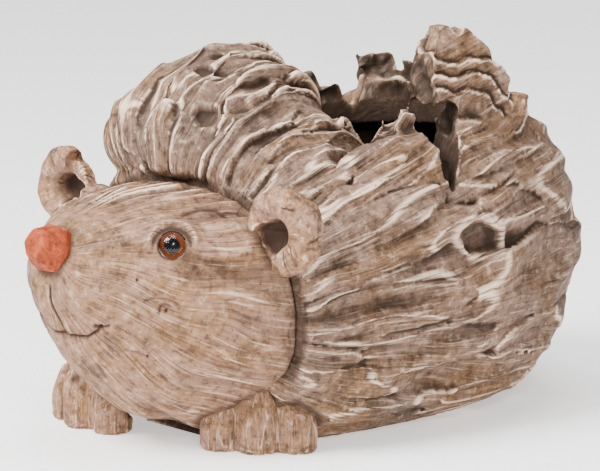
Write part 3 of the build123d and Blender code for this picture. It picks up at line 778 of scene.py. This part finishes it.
def irisPaint(side):
    sign = 1 if side == "left" else -1
    axis = Vector(eyeAxis(sign))
    middle = Vector(eyeMiddle * (sign, 1, 1) * mm)
    material = bpy.data.materials.new("irisPaint" + side.capitalize())
    material.use_nodes = True
    tree = material.node_tree
    tree.nodes.clear()
    place = addNode(tree, "ShaderNodeTexCoord").outputs["Object"]
    fit = addNode(tree, "ShaderNodeMapping", dict(vector_type="TEXTURE"),
                  {"Location": middle, "Rotation": axis.to_track_quat("Z", "Y").to_euler(),
                   "Scale": (mm, mm, mm)}, {"Vector": place}).outputs[0]
    flat = addNode(tree, "ShaderNodeVectorMath", dict(operation="MULTIPLY"), {1: (1, 1, 0)}, {0: fit})
    radius = addNode(tree, "ShaderNodeVectorMath", dict(operation="LENGTH"), {},
                     {0: flat.outputs[0]}).outputs["Value"]
    rays = addNode(tree, "ShaderNodeTexNoise", {}, {"Scale": 1.2, "Detail": 3}, {"Vector": fit}).outputs["Fac"]
    warm = addNode(tree, "ShaderNodeMix", dict(data_type="RGBA"),
                   {6: hexColour(eyes["iris"]), 7: hexColour(eyes["irisInner"])}, {0: rays}).outputs[2]
    toPupil = addNode(tree, "ShaderNodeMapRange", {},
                      {1: eyes["pupilRadius"] + 0.3, 2: eyes["pupilRadius"] - 0.3}, {0: radius}).outputs[0]
    toRim = addNode(tree, "ShaderNodeMapRange", {},
                    {1: eyes["irisRadius"] - 0.6, 2: eyes["irisRadius"] + 0.3}, {0: radius}).outputs[0]
    colour = addNode(tree, "ShaderNodeMix", dict(data_type="RGBA"), {7: hexColour(eyes["pupil"])},
                     {0: toPupil, 6: warm}).outputs[2]
    colour = addNode(tree, "ShaderNodeMix", dict(data_type="RGBA"), {7: hexColour(eyes["rim"])},
                     {0: toRim, 6: colour}).outputs[2]
    shader = addNode(tree, "ShaderNodeBsdfPrincipled", {}, {"Roughness": 0.5, "IOR": 1.5, "Specular IOR Level": 0.0},
                     {"Base Color": colour})
    addNode(tree, "ShaderNodeOutputMaterial", {}, {}, {0: shader.outputs[0]})
    return material


def clearAcrylic():
    # cast acrylic dome: clear, glossy, with a catch light
    material = bpy.data.materials.new("clearAcrylic")
    material.use_nodes = True
    shader = material.node_tree.nodes["Principled BSDF"]
    for socket, value in {"Roughness": 0.14, "IOR": 1.38, "Transmission Weight": 1.0}.items():
        shader.inputs[socket].default_value = value
    return material


acrylic = clearAcrylic()
for side in ("left", "right"):
    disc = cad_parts["eye_%s_iris" % side]
    disc.data.materials.clear()
    disc.data.materials.append(irisPaint(side))
    dome = sculptCopy("eye_%s_lens" % side, "eyeDome" + side.capitalize(), eyes["voxel"])
    dome.data.materials.append(acrylic)
    p, links = readMesh(dome)
    writeMesh(dome, soften(p, links, eyes["polish"]))
    pickOnly(dome)
    bpy.ops.object.shade_smooth()
    dome.visible_shadow = False  # light reaches the painted disc
    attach(dome, "planter"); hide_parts("eye_%s_lens" % side)
print("eyes set")


# drain plug: moulded black rubber, matt and slightly dusty
def plugRubber():
    material = bpy.data.materials.new("mouldedBlackRubber")
    material.use_nodes = True
    tree = material.node_tree
    tree.nodes.clear()
    place = addNode(tree, "ShaderNodeTexCoord").outputs["Object"]
    dust = addNode(tree, "ShaderNodeTexNoise", {}, {"Scale": 1 / (2 * mm), "Detail": 4},
                   {"Vector": place}).outputs["Fac"]
    colour = addNode(tree, "ShaderNodeMix", dict(data_type="RGBA"),
                     {6: hexColour("#171615"), 7: hexColour("#2f2c29")}, {0: dust}).outputs[2]
    bump = addNode(tree, "ShaderNodeBump", {}, {"Strength": 0.3, "Distance": 0.1 * mm}, {"Height": dust})
    shader = addNode(tree, "ShaderNodeBsdfPrincipled", {}, {"Roughness": 0.6, "IOR": 1.52},
                     {"Base Color": colour, "Normal": bump.outputs[0]})
    addNode(tree, "ShaderNodeOutputMaterial", {}, {}, {0: shader.outputs[0]})
    return material


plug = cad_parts["drain_plug"]
plug.data.materials.clear()
plug.data.materials.append(plugRubber())


# floor and soft studio light
studio = dict(
    floorSize=6, floor="#fbfaf9", floorGlow=0.7, world="#ffffff", worldStrength=0.6,
    lamps=(("key", -5, 48, 1.5, 0.7, 52), ("catchLight", 57, 26, 1.6, 0.25, 10), ("top", 60, 82, 1.6, 0.9, 20)),
    middle=(0, 0, 0.08),
)


def addStudio():
    bpy.ops.object.select_all(action="DESELECT")
    bpy.ops.mesh.primitive_plane_add(size=studio["floorSize"], location=(0, 0, 0))
    floor = bpy.context.object
    floor.name = "studioFloor"
    paper = bpy.data.materials.new("palePaper")
    paper.use_nodes = True
    shader = paper.node_tree.nodes["Principled BSDF"]
    for socket, value in {"Base Color": hexColour(studio["floor"]), "Roughness": 0.9,
                          "Emission Color": hexColour(studio["floor"]),
                          "Emission Strength": studio["floorGlow"]}.items():
        shader.inputs[socket].default_value = value
    floor.data.materials.append(paper)
    world = bpy.data.worlds.new("studioWorld")
    world.use_nodes = True
    world.node_tree.nodes["Background"].inputs[0].default_value = hexColour(studio["world"])
    world.node_tree.nodes["Background"].inputs[1].default_value = studio["worldStrength"]
    bpy.context.scene.world = world
    for name, azimuth, elevation, distance, size, power in studio["lamps"]:
        data = bpy.data.lights.new(name, "AREA")
        data.size = size
        data.energy = power
        lamp = bpy.data.objects.new(name, data)
        bpy.context.scene.collection.objects.link(lamp)
        a, e = math.radians(azimuth), math.radians(elevation)
        way = Vector((math.sin(a) * math.cos(e), -math.cos(a) * math.cos(e), math.sin(e)))
        lamp.location = Vector(studio["middle"]) + way * distance
        lamp.rotation_euler = way.to_track_quat("Z", "Y").to_euler()


addStudio()
print("studio lit")
